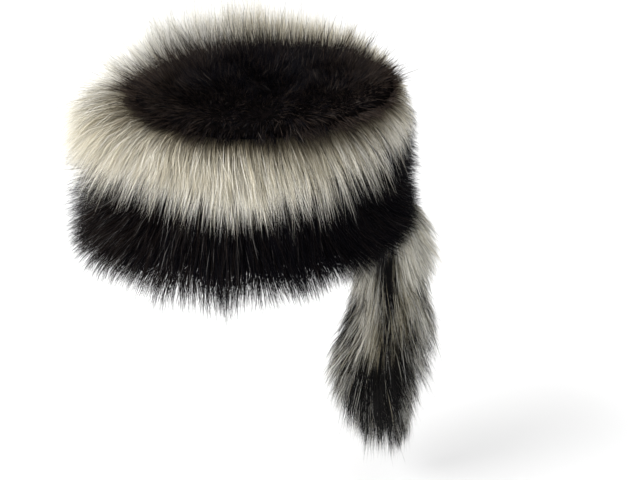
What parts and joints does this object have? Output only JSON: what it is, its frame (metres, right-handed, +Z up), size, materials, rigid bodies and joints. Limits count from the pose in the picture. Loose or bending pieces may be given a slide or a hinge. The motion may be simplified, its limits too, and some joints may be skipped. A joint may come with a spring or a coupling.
{
  "type": "fur cap",
  "caption": "Round fur cap with a deep black and cream coat and a short thick tail that hangs from the back of its rim.",
  "frame": {"origin": "middle of the head opening, on the plane of the rim", "axes": "+Z up, -Y to the front, +Y to the back where the tail hangs, +X to the wearer's left"},
  "size_m": [0.238, 0.3084, 0.3871],
  "materials": {
    "pelt_leather": "matte",
    "black_fur": "soft sheen",
    "cream_fur": "soft sheen",
    "tail_fur": "soft sheen"
  },
  "bodies": {
    "root": {"band_pelt": "pelt_leather", "crown_pelt": "pelt_leather", "crown_fur": "black_fur", "white_stripe_fur": "cream_fur", "black_band_fur": "black_fur", "tail": "tail_fur"}
  },
  "joints": []
}
